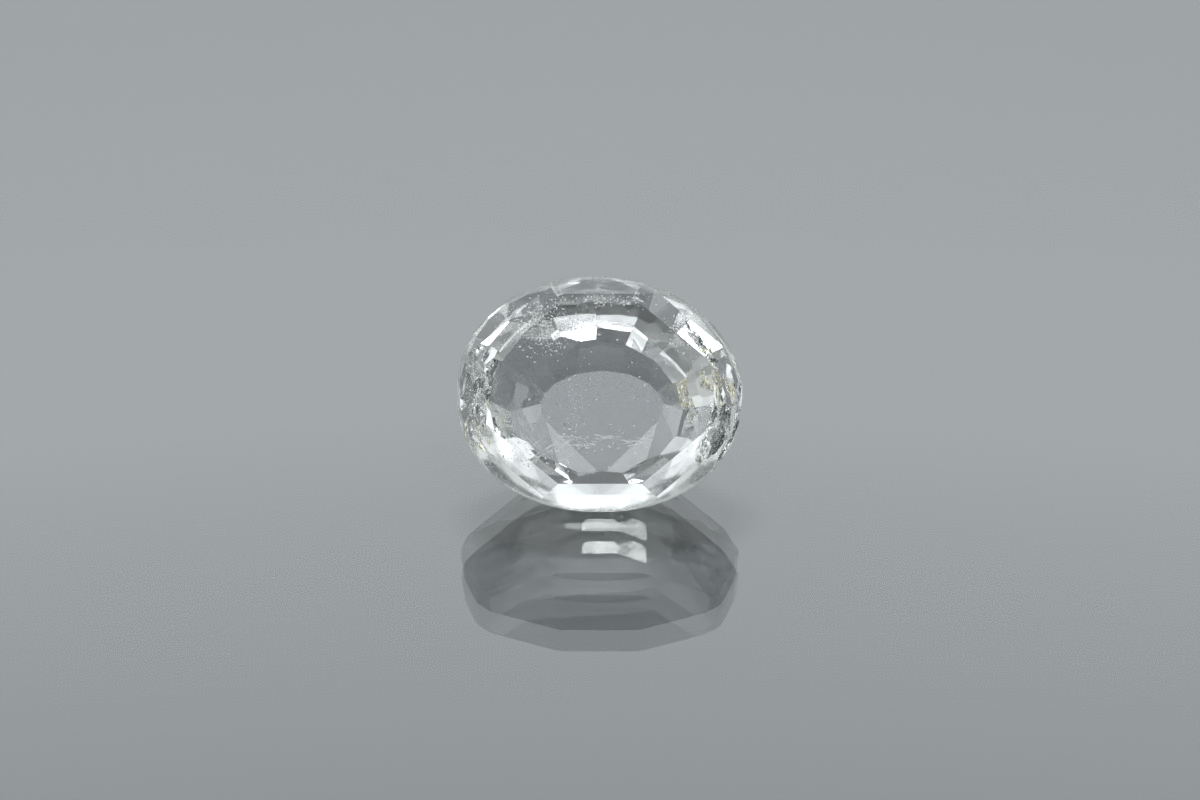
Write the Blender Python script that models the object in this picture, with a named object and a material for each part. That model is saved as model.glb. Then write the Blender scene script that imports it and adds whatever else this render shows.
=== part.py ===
"""Oval topaz, cut with a rounded rim, a two-step crown and a windowed pavilion, worn and chipped.

The stone is cut from a round blank in its own frame, in millimetres: X runs along the oval,
Y across it, Z out of the table, and the middle of the girdle is the origin. Every facet is one
straight cut through the blank, so the stone is a single convex crystal. It is then scaled to
metres, leaned back and set down on the flat at the lower end of its pavilion.
"""
import math

import bmesh
import bpy
from mathutils import Matrix, Vector

MM = 0.001

# outline, across the girdle
HALF_LENGTH = 8.0
HALF_WIDTH = 6.61
GIRDLE_HALF = 0.22
GIRDLE_FACETS = 48

# how far the four quarters of the outline stand out from a true oval
UPPER_LEFT_FULLNESS = 0.21
UPPER_RIGHT_FULLNESS = -0.09
LOWER_LEFT_FULLNESS = 0.16
LOWER_RIGHT_FULLNESS = 0.18
FULLNESS_SHARPNESS = 1.3

# steep rim above the girdle, wider and taller at the upper end: inset and height
RIM_FACETS = 32
RIM_UPPER = (0.25, 1.3)
RIM_LOWER = (0.10, 0.9)

# crown: eight facets from the rim to the step, eight from the step to the table
CROWN_FACETS = 8
STEP_HALF_LENGTH = 7.03
STEP_HALF_WIDTH = 5.60
STEP_HEIGHT = 2.2
STEP_CORNER_HEIGHT = 2.05
STEP_CORNER_FULLNESS = 0.2
TABLE_HALF_LENGTH = 6.32
TABLE_HALF_WIDTH = 4.98
TABLE_HEIGHT = 2.85
TABLE_CORNER_FULLNESS = -0.25

# pavilion: a steep tier below the girdle, a shallow tier, and the flat window off centre,
# which lies deeper towards the upper end
PAVILION_FACETS = 16
WINDOW_CENTRE = (0.11, -0.68)
WINDOW_HALF_LENGTH = 3.43
WINDOW_HALF_WIDTH = 1.97
WINDOW_DEPTH = 3.9
WINDOW_TILT = 5.0

# facet angles from the girdle plane: mean, share of cos(t) and share of cos(2t), with t the
# azimuth measured from the lower end of the short axis
STEEP_ANGLE = (44.25, 6.5, 3.25)
SHALLOW_ANGLE = (23.75, -8.5, -10.25)

# the stone leans back, with its table turned up by this angle, on the resting flat
LEAN = 34.0
LOWER_END = 270.0
REST_HALF_SPAN = 12.0

# chips broken off the girdle at the right end: azimuth, angle from the girdle plane, bite
# below the outline, and which side of the girdle the break runs to
CHIPS = (
    (-4.0, 82.0, 0.09, 1),
    (-17.0, 80.0, 0.07, 1),
    (-27.0, 78.0, 0.10, 1),
    (-12.0, 62.0, 0.20, -1),
    (-33.0, 66.0, 0.15, -1),
    (13.0, 64.0, 0.10, -1),
)

BLANK_RADIUS = 12.0
BLANK_DEPTH = 16.0
MERGE = 0.0001
TINY_EDGE = 0.002


def plan_direction(azimuth):
    """Direction across the outline, for an azimuth of the facet pattern on a round stone."""
    angle = math.radians(azimuth)
    return Vector((math.cos(angle) / HALF_LENGTH, math.sin(angle) / HALF_WIDTH, 0)).normalized()


def oval_reach(direction, half_length, half_width, centre=(0.0, 0.0)):
    """Distance from the axis to the line that touches an oval, square to a direction."""
    shift = direction.x * centre[0] + direction.y * centre[1]
    return shift + math.hypot(half_length * direction.x, half_width * direction.y)


def diagonal_share(direction):
    """0 along the two axes of the oval, 1 at its diagonals."""
    return abs(2 * direction.x * direction.y) ** FULLNESS_SHARPNESS


def outline_reach(direction):
    """Distance from the axis to the girdle, with the fuller and the flatter quarters."""
    if direction.y > 0:
        fullness = UPPER_LEFT_FULLNESS if direction.x < 0 else UPPER_RIGHT_FULLNESS
    else:
        fullness = LOWER_LEFT_FULLNESS if direction.x < 0 else LOWER_RIGHT_FULLNESS
    oval = oval_reach(direction, HALF_LENGTH, HALF_WIDTH)
    return oval + fullness * diagonal_share(direction)


def make_blank():
    blank = bmesh.new()
    bmesh.ops.create_cone(
        blank, cap_ends=True, segments=GIRDLE_FACETS,
        radius1=BLANK_RADIUS, radius2=BLANK_RADIUS, depth=BLANK_DEPTH)
    return blank


def cut_facet(stone, point, normal):
    """Takes off all that lies outside a plane and closes the stone with the new facet."""
    cut = bmesh.ops.bisect_plane(
        stone, geom=stone.verts[:] + stone.edges[:] + stone.faces[:], dist=MERGE,
        plane_co=point, plane_no=normal, clear_outer=True)
    rim = [edge for edge in cut["geom_cut"] if isinstance(edge, bmesh.types.BMEdge)]
    open_rim = [edge for edge in rim if edge.is_boundary]
    if open_rim:
        bmesh.ops.edgenet_fill(stone, edges=open_rim)


def cut_by_angle(stone, direction, reach, height, angle, side):
    """Facet through one level, at an angle from the girdle plane; side is 1 up, -1 down."""
    tilt = math.radians(angle)
    normal = direction * math.sin(tilt) + Vector((0, 0, side * math.cos(tilt)))
    cut_facet(stone, direction * reach + Vector((0, 0, height)), normal)


def cut_between(stone, direction, low_reach, low_height, high_reach, high_height):
    """Crown facet that runs from one level up to the next."""
    rise = high_height - low_height
    angle = math.degrees(math.atan2(rise, low_reach - high_reach))
    cut_by_angle(stone, direction, low_reach, low_height, angle, 1)


def cut_girdle(stone):
    for index in range(GIRDLE_FACETS):
        direction = plan_direction(360 * index / GIRDLE_FACETS)
        cut_facet(stone, direction * outline_reach(direction), direction)


def rim_level(direction):
    """Reach and height of the upper edge of the rim."""
    share = (1 + direction.y) / 2
    inset = RIM_LOWER[0] + (RIM_UPPER[0] - RIM_LOWER[0]) * share
    height = RIM_LOWER[1] + (RIM_UPPER[1] - RIM_LOWER[1]) * share
    return outline_reach(direction) - inset, height


def cut_rim(stone):
    for index in range(RIM_FACETS):
        direction = plan_direction(360 * index / RIM_FACETS)
        rim, rim_height = rim_level(direction)
        cut_between(stone, direction, outline_reach(direction), GIRDLE_HALF, rim, rim_height)


def cut_crown(stone):
    for index in range(CROWN_FACETS):
        direction = plan_direction(360 * index / CROWN_FACETS)
        corner = diagonal_share(direction)
        rim, rim_height = rim_level(direction)
        step = oval_reach(direction, STEP_HALF_LENGTH, STEP_HALF_WIDTH)
        step += STEP_CORNER_FULLNESS * corner
        step_height = STEP_HEIGHT + (STEP_CORNER_HEIGHT - STEP_HEIGHT) * corner
        table = oval_reach(direction, TABLE_HALF_LENGTH, TABLE_HALF_WIDTH)
        table += TABLE_CORNER_FULLNESS * corner
        cut_between(stone, direction, rim, rim_height, step, step_height)
        cut_between(stone, direction, step, step_height, table, TABLE_HEIGHT)
    cut_facet(stone, Vector((0, 0, TABLE_HEIGHT)), Vector((0, 0, 1)))


def tier_angle(tier, turn):
    mean, once, twice = tier
    return mean + once * math.cos(turn) + twice * math.cos(2 * turn)


def window_level(direction):
    """Height of the window where its outline is touched, square to a direction."""
    own_reach = oval_reach(direction, WINDOW_HALF_LENGTH, WINDOW_HALF_WIDTH)
    across = WINDOW_HALF_WIDTH ** 2 * direction.y / own_reach
    return -WINDOW_DEPTH - across * math.tan(math.radians(WINDOW_TILT))


def cut_pavilion(stone):
    for index in range(PAVILION_FACETS):
        azimuth = 360 * (index + 0.5) / PAVILION_FACETS
        turn = math.radians(azimuth - LOWER_END)
        direction = plan_direction(azimuth)
        if abs(azimuth - LOWER_END) > REST_HALF_SPAN:
            cut_by_angle(
                stone, direction, outline_reach(direction), -GIRDLE_HALF,
                tier_angle(STEEP_ANGLE, turn), -1)
        window = oval_reach(direction, WINDOW_HALF_LENGTH, WINDOW_HALF_WIDTH, WINDOW_CENTRE)
        cut_by_angle(
            stone, direction, window, window_level(direction),
            tier_angle(SHALLOW_ANGLE, turn), -1)
    tilt = math.radians(WINDOW_TILT)
    centre = Vector((*WINDOW_CENTRE, -WINDOW_DEPTH))
    cut_facet(stone, centre, Vector((0, -math.sin(tilt), -math.cos(tilt))))


def cut_rest(stone):
    """The flat that the stone stands on, square to the vertical when the stone leans."""
    direction = plan_direction(LOWER_END)
    cut_by_angle(stone, direction, outline_reach(direction), -GIRDLE_HALF, 90 - LEAN, -1)


def cut_chips(stone):
    for azimuth, angle, bite, side in CHIPS:
        direction = plan_direction(azimuth)
        reach = outline_reach(direction) - bite
        cut_by_angle(stone, direction, reach, side * GIRDLE_HALF, angle, side)


def cut_stone():
    stone = make_blank()
    cut_girdle(stone)
    cut_rim(stone)
    cut_crown(stone)
    cut_pavilion(stone)
    cut_rest(stone)
    cut_chips(stone)
    bmesh.ops.dissolve_degenerate(stone, dist=TINY_EDGE, edges=stone.edges[:])
    bmesh.ops.recalc_face_normals(stone, faces=stone.faces[:])
    bmesh.ops.scale(stone, vec=(MM, MM, MM), verts=stone.verts[:])
    mesh = bpy.data.meshes.new("topaz")
    stone.to_mesh(mesh)
    stone.free()
    return mesh


def resting_place(mesh):
    """Leans the stone back and puts the bottom centre of its box at the origin."""
    lean = Matrix.Rotation(math.radians(90 - LEAN), 4, "X")
    corners = [lean @ vertex.co for vertex in mesh.vertices]
    lowest = [min(corner[axis] for corner in corners) for axis in range(3)]
    highest = [max(corner[axis] for corner in corners) for axis in range(3)]
    middle = [(low + high) / 2 for low, high in zip(lowest, highest)]
    return Matrix.Translation((-middle[0], -middle[1], -lowest[2])) @ lean


def topaz_material():
    material = bpy.data.materials.new("colourless_topaz")
    material.use_nodes = True
    shader = material.node_tree.nodes["Principled BSDF"]
    shader.inputs["Base Color"].default_value = (0.94, 0.96, 0.97, 1)
    shader.inputs["Roughness"].default_value = 0.02
    shader.inputs["Metallic"].default_value = 0.0
    shader.inputs["IOR"].default_value = 1.62
    shader.inputs["Transmission Weight"].default_value = 1.0
    return material


def clear_scene():
    for item in list(bpy.data.objects):
        bpy.data.objects.remove(item, do_unlink=True)


def main():
    clear_scene()
    collection = bpy.data.collections.new("oval_topaz")
    bpy.context.scene.collection.children.link(collection)
    mesh = cut_stone()
    mesh.materials.append(topaz_material())
    stone = bpy.data.objects.new("topaz", mesh)
    stone.matrix_world = resting_place(mesh)
    collection.objects.link(stone)


main()
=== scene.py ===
"""The oval topaz, dressed for a close studio view.

The solid stone from the frame is replaced by a mesh of the same facets in plain see-through
crystal, broken along its rim and crown, with dirt and stains in the breaks. Dust, scratches and
a few small feathers inside the stone are a second mesh.
"""
import math
import random

import bmesh
import bpy
from mathutils import Matrix, Vector, noise
from mathutils.bvhtree import BVHTree


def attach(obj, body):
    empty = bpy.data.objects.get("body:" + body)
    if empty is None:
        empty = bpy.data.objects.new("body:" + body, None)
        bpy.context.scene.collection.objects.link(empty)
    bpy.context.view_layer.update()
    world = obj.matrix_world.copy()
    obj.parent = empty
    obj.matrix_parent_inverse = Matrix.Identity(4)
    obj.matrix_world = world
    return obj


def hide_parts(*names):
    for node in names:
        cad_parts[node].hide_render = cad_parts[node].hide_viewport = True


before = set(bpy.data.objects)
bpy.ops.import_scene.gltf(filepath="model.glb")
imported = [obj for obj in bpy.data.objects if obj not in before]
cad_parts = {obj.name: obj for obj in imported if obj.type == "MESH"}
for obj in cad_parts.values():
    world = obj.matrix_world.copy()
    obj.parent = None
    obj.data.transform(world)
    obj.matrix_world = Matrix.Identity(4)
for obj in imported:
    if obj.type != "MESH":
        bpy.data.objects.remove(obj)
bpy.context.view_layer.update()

MM = 0.001

# camera: the photograph looks down on the stone, from the side its table faces, and the
# stone's 16 mm take up 284.6 of its 1200 pixels
VIEW_ELEVATION = 34.0
IMAGE_WIDTH = 1200
PIXEL = 16.0 * MM / 284.6
VIEW_PIXELS = 4200
VIEW_DISTANCE = VIEW_PIXELS * PIXEL
SENSOR = 36.0
FOCAL = SENSOR * VIEW_PIXELS / IMAGE_WIDTH
CLIP = (0.001, 10.0)

# middle of the girdle in the frame, and how far below it the camera aims
GIRDLE_CENTRE = Vector((0, 0.3237, 5.603)) * MM
AIM_DROP = 5.75 * PIXEL

# the stone's own axes: X along the oval, Y across it, Z out of the table
LEAN = 34.0
GEM_TO_FRAME = Matrix.Translation(GIRDLE_CENTRE) @ Matrix.Rotation(math.radians(90 - LEAN), 4, "X")

# refraction, with the values of noise between which a worn patch fades in
TOPAZ_IOR = 1.62
PATCH_FADE = (0.5, 0.75)

# finishes of the stone's faces, by their place in its list of materials
POLISHED, GROUND, WORN, CLEAR, DIRTY, STAINED = range(6)

# share of a facet's normal that points out of the table: less on the ground rim, more on the
# table; and how far down the crown the worn part starts
RIM_STEEPNESS = 0.36
TABLE_FLATNESS = 0.98
WORN_BELOW = -3.0 * MM

# breaks along the rim, in the stone's own axes and millimetres: first place, last place,
# number and sizes of the shells broken off, and their finishes
RIM_BREAKS = (
    ((7.75, -1.3), (6.9, -3.5), 5, (0.30, 0.46), (DIRTY,)),
    ((7.9, -0.6), (6.6, -4.1), 18, (0.12, 0.26), (CLEAR, CLEAR, DIRTY)),
    ((7.75, 1.7), (7.85, 0.2), 6, (0.12, 0.26), (CLEAR, STAINED, DIRTY)),
    ((-7.4, -2.0), (-6.8, -3.0), 4, (0.14, 0.24), (STAINED, DIRTY)),
)
RIM_BREAK_HEIGHTS = (0.0, 1.2)

# the same on the facets above the rim
CROWN_BREAKS = (
    ((7.1, -1.0), (6.3, -3.1), 5, (0.22, 0.34), (DIRTY,)),
    ((6.7, -0.3), (5.5, -3.9), 26, (0.09, 0.20), (CLEAR, CLEAR, DIRTY, GROUND)),
    ((6.65, 0.6), (6.7, -0.3), 3, (0.20, 0.28), (STAINED,)),
    ((7.25, 0.7), (7.3, 0.1), 2, (0.18, 0.24), (STAINED,)),
    ((5.0, 3.7), (6.6, 1.4), 16, (0.09, 0.20), (CLEAR, DIRTY, STAINED)),
    ((-6.9, -1.9), (-6.4, -2.8), 5, (0.10, 0.22), (STAINED, DIRTY, CLEAR)),
)
CROWN_BREAK_RISE = 0.15

# the shells: how far they stray from their line, turn from it and are drawn out along it
BREAK_SCATTER = 0.12
BREAK_SWING = (0.25, 0.25, 0.3)
BREAK_STRETCH = (1.5, 3.2)

# their lumps: depth as a share of the shell, how close they lie, and how they differ by shell
LUMP_DEPTH = 0.7
LUMP_SCALE = 1.9
LUMP_SHIFT = (3.7, 1.9)

# dust on the upper faces: middle and half spread across the stone, number of grains
DUST = (
    ((-3.4, 4.1), (1.6, 0.8), 420),
    ((-3.0, 3.0), (1.3, 0.8), 160),
    ((0.0, 5.2), (3.0, 0.3), 150),
    ((4.9, 3.5), (0.8, 0.9), 260),
    ((6.4, -2.0), (0.35, 1.3), 300),
    ((7.1, -2.4), (0.25, 0.9), 180),
    ((-7.1, -0.4), (0.45, 1.2), 70),
    ((-1.3, -0.8), (0.5, 1.4), 34),
    ((-3.6, -3.6), (1.9, 0.7), 90),
    ((0.3, -2.7), (2.6, 0.4), 60),
    ((0.0, 0.0), (6.0, 4.8), 80),
)
DUST_GATHERING = 0.6
DUSTY_SLOPE = 0.4

# a grain: its size, how much that varies, its length and its height as shares of it
GRAIN_SIZES = (0.012, 0.042)
GRAIN_VARIATION = (0.6, 1.2)
GRAIN_LENGTHS = (1, 2.2)
GRAIN_HEIGHT = 0.6
GRAIN_RISE = 0.5

# scratches on the table: middle, half spread, number, turn of the strokes in degrees
SCRATCHES = (
    ((-0.4, -2.4), (2.0, 0.10), 13, -5),
    ((1.2, -2.55), (1.6, 0.12), 10, -3),
    ((0.6, -2.8), (2.0, 0.10), 7, 4),
    ((-2.6, -3.2), (1.2, 0.5), 20, 38),
    ((-4.0, -3.0), (0.8, 0.6), 10, -50),
    ((1.7, 3.85), (0.9, 0.06), 4, -4),
)
SCRATCH_LENGTHS = (0.2, 1.2)
SCRATCH_WIDTH = 0.02
SCRATCH_HEIGHT = 0.004
SCRATCH_SWING = 7.0

# small feathers inside the stone: place in its own axes, size; and their width and thickness
FEATHERS = (
    (-3.7, 0.0, 1.2, 0.07),
    (-1.35, 0.45, 0.8, 0.08),
    (-1.95, -1.65, 1.5, 0.13),
    (-1.7, -1.95, 1.4, 0.10),
    (-1.8, -1.35, 1.6, 0.06),
    (0.6, -1.7, 1.8, 0.09),
    (-0.2, -0.3, 1.1, 0.05),
    (-2.6, 0.9, 0.9, 0.06),
    (1.3, 0.6, 1.0, 0.04),
)
FEATHER_WIDTH = 0.7
FEATHER_THICKNESS = 0.15

# clear sheet under the stone, and the depth at which the paper behind it is seen
FLOOR_SIZE = 4
SHEET_DEPTH = 0.78 * MM
SHEET_IOR = 1.5

# the studio, by direction from the stone: X and Y as in the frame, height as the sine of the
# angle above the table. Brightness on the camera's side and on the far side, and the stretch
# of Y over which it changes
STUDIO_TINT = (0.950, 1.0, 1.018)
CAMERA_SIDE = 0.20
FAR_SIDES = 0.85
ROOM_CHANGE = (-0.65, 0.1)

# lighter walls low at both sides: how far aside they start, and the edges of their height
LOW_WALLS = 0.90
WALL_START = (0.22, 0.40)
WALL_FOOT = (0.18, 0.25)
WALL_TOP = (0.44, 0.54)

# lit background behind the stone: height, brightness
BACKGROUND = (
    (0.0, 0.30),
    (0.03, 0.30),
    (0.06, 1.10),
    (0.35, 1.25),
    (0.48, 1.65),
    (0.56, 2.30),
    (0.64, 1.85),
    (0.70, 1.60),
    (0.78, 0.65),
    (1.0, 0.65),
)
BACKGROUND_PEAK = max(brightness for height, brightness in BACKGROUND)

# its half width as a share of its distance, narrower from the first height to the second
BACKGROUND_TAPER = (0.30, 0.50)
BACKGROUND_HALF_WIDTHS = (0.95, 0.40)
BACKGROUND_SOFT_EDGE = 0.18
LEAST_DEPTH = 0.001

# lamps: direction from the stone, width and length in metres, and brightness
LAMPS = (
    ("lamp_behind", (-0.05, 0.367, 0.929), (0.2, 0.1), 34.0),
    ("lamp_front", (0.26, -0.54, 0.80), (0.11, 0.08), 5.0),
    ("fill_left", (0.277, -0.297, 0.914), (0.14, 0.14), 1.9),
    ("fill_right", (-0.277, -0.297, 0.914), (0.14, 0.14), 2.3),
)
LAMP_DISTANCE = 0.6
LAMP_POWER = 4

# how often light is followed through the stone, and how often by mirroring
BOUNCES = 24
MIRROR_BOUNCES = 16

random.seed(7)


def add_camera():
    tilt = math.radians(VIEW_ELEVATION)
    forward = Vector((0, math.cos(tilt), -math.sin(tilt)))
    up = Vector((0, math.sin(tilt), math.cos(tilt)))
    camera = bpy.data.objects.new("camera", bpy.data.cameras.new("camera"))
    camera.data.sensor_width = SENSOR
    camera.data.lens = FOCAL
    camera.data.clip_start, camera.data.clip_end = CLIP
    camera.location = GIRDLE_CENTRE - up * AIM_DROP - forward * VIEW_DISTANCE
    camera.rotation_euler = (-forward).to_track_quat("Z", "Y").to_euler()
    bpy.context.scene.collection.objects.link(camera)
    bpy.context.scene.camera = camera


def new_material(name):
    material = bpy.data.materials.new(name)
    material.use_nodes = True
    return material, material.node_tree.nodes["Principled BSDF"]


def noise_share(material, scale, detail):
    """Noise over the surface, by its scale in repeats a metre."""
    nodes = material.node_tree.nodes
    place = nodes.new("ShaderNodeTexCoord")
    pattern = nodes.new("ShaderNodeTexNoise")
    pattern.inputs["Scale"].default_value = scale
    pattern.inputs["Detail"].default_value = detail
    material.node_tree.links.new(place.outputs["Object"], pattern.inputs["Vector"])
    return pattern.outputs["Fac"]


def worn_patches(material, shader, scale, low, high):
    """Roughness that rises from low to high in patches, by their scale in repeats a metre."""
    rise = material.node_tree.nodes.new("ShaderNodeMapRange")
    rise.inputs["From Min"].default_value = PATCH_FADE[0]
    rise.inputs["From Max"].default_value = PATCH_FADE[1]
    rise.inputs["To Min"].default_value = low
    rise.inputs["To Max"].default_value = high
    links = material.node_tree.links
    links.new(noise_share(material, scale, detail=6.0), rise.inputs["Value"])
    links.new(rise.outputs["Result"], shader.inputs["Roughness"])


def ripples(material, shader, scale, depth):
    """Fine relief, by its scale in repeats a metre and its depth in metres."""
    bump = material.node_tree.nodes.new("ShaderNodeBump")
    bump.inputs["Strength"].default_value = 1.0
    bump.inputs["Distance"].default_value = depth
    links = material.node_tree.links
    links.new(noise_share(material, scale, detail=3.0), bump.inputs["Height"])
    links.new(bump.outputs["Normal"], shader.inputs["Normal"])


def topaz_material(name, colour, roughness):
    """Clear topaz, see-through by transmission and its refractive index."""
    material, shader = new_material(name)
    shader.inputs["Base Color"].default_value = (*colour, 1)
    shader.inputs["Roughness"].default_value = roughness
    shader.inputs["IOR"].default_value = TOPAZ_IOR
    shader.inputs["Transmission Weight"].default_value = 1.0
    return material, shader


def crystal_material():
    """Polished facets, a little hazier in patches."""
    material, shader = topaz_material("topaz_crystal", (0.955, 0.965, 0.97), 0.02)
    worn_patches(material, shader, scale=450.0, low=0.015, high=0.07)
    return material


def ground_material():
    """The rim, left less smooth by grinding."""
    material, shader = topaz_material("topaz_ground_rim", (0.95, 0.955, 0.89), 0.18)
    worn_patches(material, shader, scale=700.0, low=0.15, high=0.3)
    return material


def worn_material():
    """The lower crown, rubbed matt by wear."""
    material, shader = topaz_material("topaz_worn_crown", (0.975, 0.98, 0.975), 0.25)
    worn_patches(material, shader, scale=900.0, low=0.18, high=0.38)
    return material


def break_material(name, colour, roughness):
    """Rippled fracture in the same crystal."""
    material, shader = topaz_material(name, colour, roughness)
    ripples(material, shader, scale=2600.0, depth=0.05 * MM)
    return material


def dust_material():
    material, shader = new_material("dust")
    shader.inputs["Base Color"].default_value = (0.87, 0.87, 0.86, 1)
    shader.inputs["Roughness"].default_value = 0.7
    shader.inputs["Specular IOR Level"].default_value = 0.3
    return material


def stone_materials():
    """The materials in the order of the finishes."""
    return (
        crystal_material(),
        ground_material(),
        worn_material(),
        break_material("fracture_clear", (0.96, 0.96, 0.95), 0.03),
        break_material("fracture_dirty", (0.07, 0.085, 0.08), 0.06),
        break_material("fracture_stained", (0.84, 0.79, 0.56), 0.08),
    )


def new_object(name, mesh, *materials):
    thing = bpy.data.objects.new(name, mesh)
    bpy.context.scene.collection.objects.link(thing)
    for material in materials:
        mesh.materials.append(material)
    return thing


def finish_of(centre, normal):
    """Finish of a facet, from its place and direction in the stone's own axes."""
    if abs(normal.z) < RIM_STEEPNESS:
        return GROUND
    if RIM_STEEPNESS < normal.z < TABLE_FLATNESS and centre.y < WORN_BELOW:
        return WORN
    return POLISHED


def copy_of_solid():
    """The stone's facets, each in the material of its finish."""
    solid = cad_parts["topaz"]
    mesh = solid.data.copy()
    mesh.materials.clear()
    stone = new_object("topaz_stone", mesh, *stone_materials())
    stone.matrix_world = solid.matrix_world.copy()
    to_gem = GEM_TO_FRAME.inverted() @ stone.matrix_world
    for face in mesh.polygons:
        face.material_index = finish_of(to_gem @ face.center, to_gem.to_3x3() @ face.normal)
        face.use_smooth = False
    return stone


def surface_of(stone):
    """Search tree of the stone's faces, in the stone's own axes and millimetres."""
    to_gem = GEM_TO_FRAME.inverted() @ stone.matrix_world
    points = [to_gem @ vertex.co / MM for vertex in stone.data.vertices]
    faces = [list(face.vertices) for face in stone.data.polygons]
    return BVHTree.FromPolygons(points, faces)


def upper_face(surface, x, y, slope=0.05):
    """Point and normal of the crown or table over a place across the stone, if any."""
    above_the_stone = Vector((x, y, 20))
    point, normal, _, _ = surface.ray_cast(above_the_stone, Vector((0, 0, -1)))
    if point is None or normal.z < slope:
        return None
    return point, normal


def rough_shell(middle, along, size, number):
    """A knobbly, stretched ball with flat facets, as the cutter of one shell-like break."""
    shell = bmesh.new()
    bmesh.ops.create_icosphere(shell, subdivisions=2, radius=1)
    shift = Vector((number * LUMP_SHIFT[0], number * LUMP_SHIFT[1], number))
    reach = size * random.uniform(*BREAK_STRETCH)
    turn = along.to_track_quat("X", "Z").to_matrix()
    for vertex in shell.verts:
        lump = 1 + LUMP_DEPTH * noise.noise(vertex.co * LUMP_SCALE + shift)
        shape = Vector((vertex.co.x * reach, vertex.co.y * size, vertex.co.z * size))
        vertex.co = turn @ shape * lump + middle
    return shell


def places_along(first, last, number, sizes, finishes):
    """Places scattered along a line across the stone, each with the direction, the size and
    the finish of a break."""
    along = (Vector(last) - Vector(first)).normalized().to_3d()
    for step in range(number):
        middle = Vector(first).lerp(Vector(last), (step + 0.5) / number)
        x = middle.x + random.gauss(0, BREAK_SCATTER)
        y = middle.y + random.gauss(0, BREAK_SCATTER)
        swing = Vector([random.gauss(0, spread) for spread in BREAK_SWING])
        yield x, y, along + swing, random.uniform(*sizes), random.choice(finishes)


def break_places(surface):
    for band in RIM_BREAKS:
        for x, y, along, size, finish in places_along(*band):
            height = random.uniform(*RIM_BREAK_HEIGHTS)
            yield Vector((x, y, height)), along, size, finish
    for band in CROWN_BREAKS:
        for x, y, along, size, finish in places_along(*band):
            found = upper_face(surface, x, y)
            if found:
                yield found[0] + found[1] * size * CROWN_BREAK_RISE, along, size, finish


def break_cutters(surface):
    cutters = bmesh.new()
    for number, (place, along, size, finish) in enumerate(break_places(surface)):
        shell = rough_shell(place, along, size, number)
        for face in shell.faces:
            face.material_index = finish
        mesh = bpy.data.meshes.new("shell")
        shell.to_mesh(mesh)
        shell.free()
        cutters.from_mesh(mesh)
    bmesh.ops.transform(
        cutters, matrix=GEM_TO_FRAME @ Matrix.Scale(MM, 4), verts=cutters.verts[:])
    mesh = bpy.data.meshes.new("breaks")
    cutters.to_mesh(mesh)
    cutters.free()
    return new_object("breaks", mesh)


def break_edges(stone, surface):
    """Cuts all the shells from the stone, each break in the finish of its shell."""
    cutter = break_cutters(surface)
    for material in stone.data.materials:
        cutter.data.materials.append(material)
    step = stone.modifiers.new("breaks", "BOOLEAN")
    step.operation = "DIFFERENCE"
    step.solver = "EXACT"
    step.use_self = True
    step.object = cutter
    step.material_mode = "INDEX"
    seen = bpy.context.evaluated_depsgraph_get()
    broken = bpy.data.meshes.new_from_object(stone.evaluated_get(seen))
    stone.modifiers.clear()
    stone.data = broken
    bpy.data.objects.remove(cutter, do_unlink=True)


class Pile:
    """Many small closed shapes, gathered to become one mesh."""

    def __init__(self):
        self.points = []
        self.faces = []

    def add(self, shape, place):
        start = len(self.points)
        self.points += [place @ point for point in shape[0]]
        self.faces += [[start + corner for corner in face] for face in shape[1]]

    def mesh(self, name):
        mesh = bpy.data.meshes.new(name)
        mesh.from_pydata(self.points, [], self.faces)
        return mesh


def points_and_faces(make, **options):
    model = bmesh.new()
    make(model, **options)
    model.verts.index_update()
    points = [vertex.co.copy() for vertex in model.verts]
    faces = [[vertex.index for vertex in face.verts] for face in model.faces]
    model.free()
    return points, faces


def dust_places():
    for middle, spread, count in DUST:
        for _ in range(count):
            x = random.gauss(middle[0], spread[0] * DUST_GATHERING)
            y = random.gauss(middle[1], spread[1] * DUST_GATHERING)
            yield x, y


def grain_place(point, normal):
    """Place, turn and stretch of one grain of dust on a face."""
    size = random.uniform(*GRAIN_SIZES) * random.uniform(*GRAIN_VARIATION)
    turn = Matrix.Rotation(random.uniform(0, math.pi), 4, "Z")
    length = size * random.uniform(*GRAIN_LENGTHS)
    stretch = Matrix.Diagonal((length, size, size * GRAIN_HEIGHT, 1))
    return Matrix.Translation(point + normal * size * GRAIN_RISE) @ turn @ stretch


def add_grains(pile, surface):
    grain = points_and_faces(bmesh.ops.create_icosphere, subdivisions=1, radius=1)
    for x, y in dust_places():
        found = upper_face(surface, x, y, DUSTY_SLOPE)
        if found:
            pile.add(grain, grain_place(*found))


def scratch_place(point, slant):
    """Place, turn and stretch of one scratch on the table."""
    length = random.uniform(*SCRATCH_LENGTHS)
    angle = slant + random.uniform(-SCRATCH_SWING, SCRATCH_SWING)
    turn = Matrix.Rotation(math.radians(angle), 4, "Z")
    stretch = Matrix.Diagonal((length, SCRATCH_WIDTH, SCRATCH_HEIGHT, 1))
    return Matrix.Translation(point) @ turn @ stretch


def add_scratches(pile, surface):
    stroke = points_and_faces(bmesh.ops.create_cube, size=1)
    for middle, spread, count, slant in SCRATCHES:
        for _ in range(count):
            x = random.uniform(middle[0] - spread[0], middle[0] + spread[0])
            y = random.uniform(middle[1] - spread[1], middle[1] + spread[1])
            found = upper_face(surface, x, y, DUSTY_SLOPE)
            if found:
                pile.add(stroke, scratch_place(found[0], slant))


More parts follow.
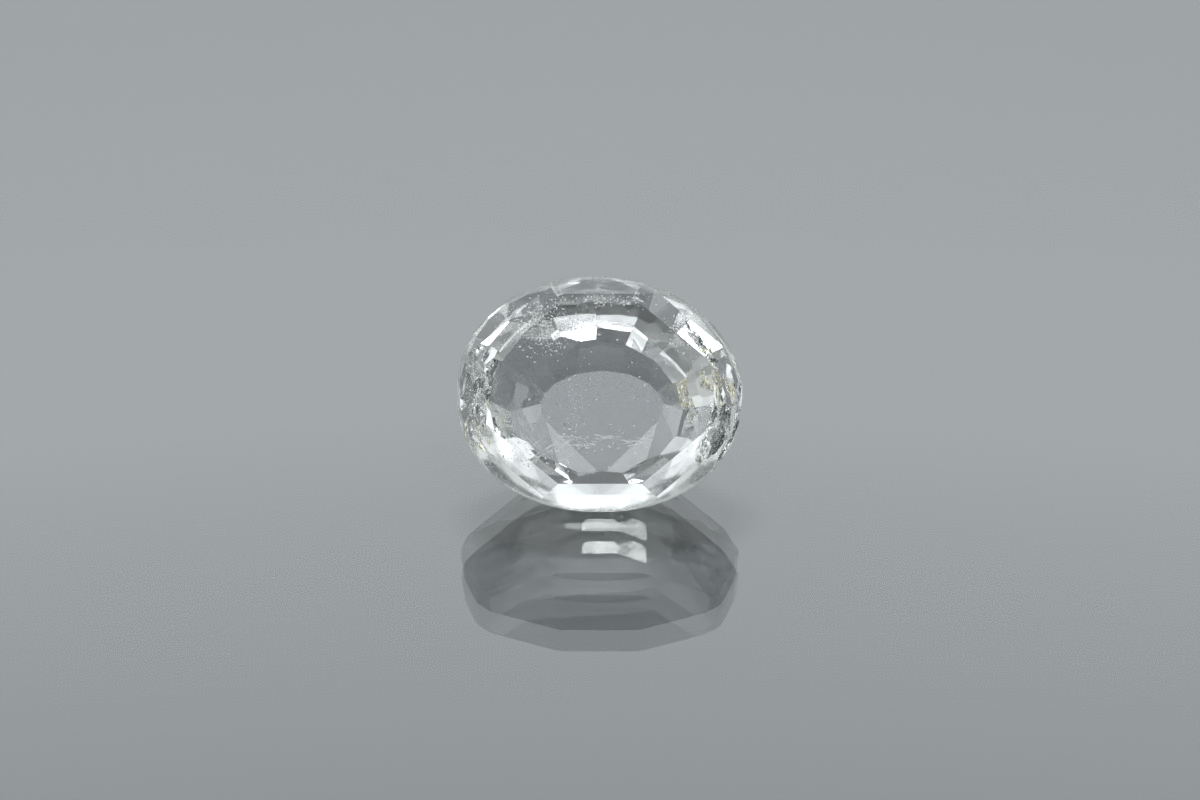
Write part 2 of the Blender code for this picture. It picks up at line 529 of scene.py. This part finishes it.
def add_feathers(pile):
    feather = points_and_faces(bmesh.ops.create_icosphere, subdivisions=2, radius=1)
    for x, y, z, size in FEATHERS:
        turn = Matrix.Rotation(random.uniform(0, math.pi), 4, "X")
        stretch = Matrix.Diagonal((size, size * FEATHER_WIDTH, size * FEATHER_THICKNESS, 1))
        pile.add(feather, Matrix.Translation((x, y, z)) @ turn @ stretch)


def add_dust(surface):
    pile = Pile()
    add_grains(pile, surface)
    add_scratches(pile, surface)
    add_feathers(pile)
    mesh = pile.mesh("dust")
    mesh.transform(GEM_TO_FRAME @ Matrix.Scale(MM, 4))
    return new_object("dust_and_scratches", mesh, dust_material())


def paper_material():
    material, shader = new_material("floor_paper")
    shader.inputs["Base Color"].default_value = (0.084, 0.089, 0.092, 1)
    shader.inputs["Roughness"].default_value = 0.0
    shader.inputs["Specular IOR Level"].default_value = 0.5
    return material


def sheet_face_material():
    """Clear face that mirrors by its Fresnel share and lets the rest straight through."""
    material = bpy.data.materials.new("sheet_face")
    material.use_nodes = True
    nodes = material.node_tree.nodes
    links = material.node_tree.links
    nodes.remove(nodes["Principled BSDF"])
    clear = nodes.new("ShaderNodeBsdfTransparent")
    mirror = nodes.new("ShaderNodeBsdfGlossy")
    mirror.inputs["Roughness"].default_value = 0.0
    side = nodes.new("ShaderNodeNewGeometry")
    either_side = nodes.new("ShaderNodeMapRange")
    either_side.inputs["To Min"].default_value = SHEET_IOR
    either_side.inputs["To Max"].default_value = 1 / SHEET_IOR
    fresnel = nodes.new("ShaderNodeFresnel")
    mix = nodes.new("ShaderNodeMixShader")
    links.new(side.outputs["Backfacing"], either_side.inputs["Value"])
    links.new(either_side.outputs["Result"], fresnel.inputs["IOR"])
    links.new(fresnel.outputs[0], mix.inputs["Fac"])
    links.new(clear.outputs[0], mix.inputs[1])
    links.new(mirror.outputs[0], mix.inputs[2])
    links.new(mix.outputs[0], nodes["Material Output"].inputs["Surface"])
    return material


def add_floor():
    for name, height, look in (
            ("floor", -SHEET_DEPTH, paper_material()),
            ("floor_sheet", 0.0, sheet_face_material())):
        bpy.ops.mesh.primitive_plane_add(size=FLOOR_SIZE, location=(0, 0, height))
        floor = bpy.context.object
        floor.name = name
        floor.data.materials.append(look)


def add_lamp(name, direction, size, radiance):
    """Lamp that faces the stone and shows through it, but isn't seen or mirrored by itself."""
    light = bpy.data.lights.new(name, "AREA")
    light.shape = "RECTANGLE"
    light.size, light.size_y = size
    light.energy = LAMP_POWER * radiance * size[0] * size[1]
    light.color = STUDIO_TINT
    lamp = bpy.data.objects.new(name, light)
    lamp.location = Vector(direction).normalized() * LAMP_DISTANCE
    lamp.rotation_euler = Vector(direction).to_track_quat("Z", "Y").to_euler()
    lamp.visible_camera = False
    lamp.visible_glossy = False
    bpy.context.scene.collection.objects.link(lamp)


class Sums:
    """Short names for the arithmetic nodes of one node tree."""

    def __init__(self, tree):
        self.tree = tree

    def feed(self, socket, value):
        if isinstance(value, (int, float)):
            socket.default_value = value
        else:
            self.tree.links.new(value, socket)

    def math(self, operation, first, second=0.0):
        node = self.tree.nodes.new("ShaderNodeMath")
        node.operation = operation
        self.feed(node.inputs[0], first)
        self.feed(node.inputs[1], second)
        return node.outputs[0]

    def ramp(self, value, span, results, soft=False):
        """The first result below the span, the second above it, and a slope between."""
        node = self.tree.nodes.new("ShaderNodeMapRange")
        if soft:
            node.interpolation_type = "SMOOTHSTEP"
        sockets = ("Value", "From Min", "From Max", "To Min", "To Max")
        for name, number in zip(sockets, (value, *span, *results)):
            self.feed(node.inputs[name], number)
        return node.outputs["Result"]


def background_brightness(sums, height):
    """Brightness of the lit background, as a ramp over its peak."""
    node = sums.tree.nodes.new("ShaderNodeValToRGB")
    ramp = node.color_ramp
    for place, _ in BACKGROUND[1:-1]:
        ramp.elements.new(place)
    for element, (_, brightness) in zip(ramp.elements, BACKGROUND):
        share = brightness / BACKGROUND_PEAK
        element.color = (share, share, share, 1)
    sums.feed(node.inputs["Fac"], height)
    return sums.math("MULTIPLY", node.outputs["Color"], BACKGROUND_PEAK)


def background_share(sums, x, y, height):
    """1 where a direction meets the lit background, 0 beside it and on the camera's side."""
    aside = sums.math("DIVIDE", sums.math("ABSOLUTE", x), sums.math("MAXIMUM", y, LEAST_DEPTH))
    edge = sums.ramp(height, BACKGROUND_TAPER, BACKGROUND_HALF_WIDTHS)
    outer_edge = sums.math("ADD", edge, BACKGROUND_SOFT_EDGE)
    inside = sums.ramp(aside, (edge, outer_edge), (1.0, 0.0), soft=True)
    return sums.math("MULTIPLY", inside, sums.math("GREATER_THAN", y, 0.0))


def room_brightness(sums, x, y, height):
    """Brightness beside the background: dim towards the camera, lighter on the walls."""
    room = sums.ramp(y, ROOM_CHANGE, (CAMERA_SIDE, FAR_SIDES), soft=True)
    aside = sums.ramp(sums.math("ABSOLUTE", x), WALL_START, (0.0, 1.0), soft=True)
    above_foot = sums.ramp(height, WALL_FOOT, (0.0, 1.0))
    below_top = sums.ramp(height, WALL_TOP, (1.0, 0.0))
    wall = sums.math("MULTIPLY", aside, sums.math("MULTIPLY", above_foot, below_top))
    return sums.math("ADD", room, sums.math("MULTIPLY", wall, LOW_WALLS))


def make_world():
    world = bpy.data.worlds.new("studio")
    bpy.context.scene.world = world
    world.use_nodes = True
    tree = world.node_tree
    sums = Sums(tree)
    direction = tree.nodes.new("ShaderNodeTexCoord")
    split = tree.nodes.new("ShaderNodeSeparateXYZ")
    tree.links.new(direction.outputs["Generated"], split.inputs[0])
    x, y, height = split.outputs
    lit = background_share(sums, x, y, height)
    unlit = sums.math("SUBTRACT", 1.0, lit)
    background = sums.math("MULTIPLY", background_brightness(sums, height), lit)
    room = sums.math("MULTIPLY", room_brightness(sums, x, y, height), unlit)
    output = tree.nodes["Background"]
    output.inputs["Color"].default_value = (*STUDIO_TINT, 1)
    tree.links.new(sums.math("ADD", background, room), output.inputs["Strength"])


def add_light():
    make_world()
    for lamp in LAMPS:
        add_lamp(*lamp)


def set_view():
    scene = bpy.context.scene
    scene.view_settings.view_transform = "Standard"
    scene.cycles.max_bounces = BOUNCES
    scene.cycles.transmission_bounces = BOUNCES
    scene.cycles.glossy_bounces = MIRROR_BOUNCES


stone = copy_of_solid()
surface = surface_of(stone)
break_edges(stone, surface)
dust = add_dust(surface_of(stone))
for piece in (stone, dust):
    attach(piece, "root")
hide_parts("topaz")
add_floor()
add_light()
add_camera()
set_view()
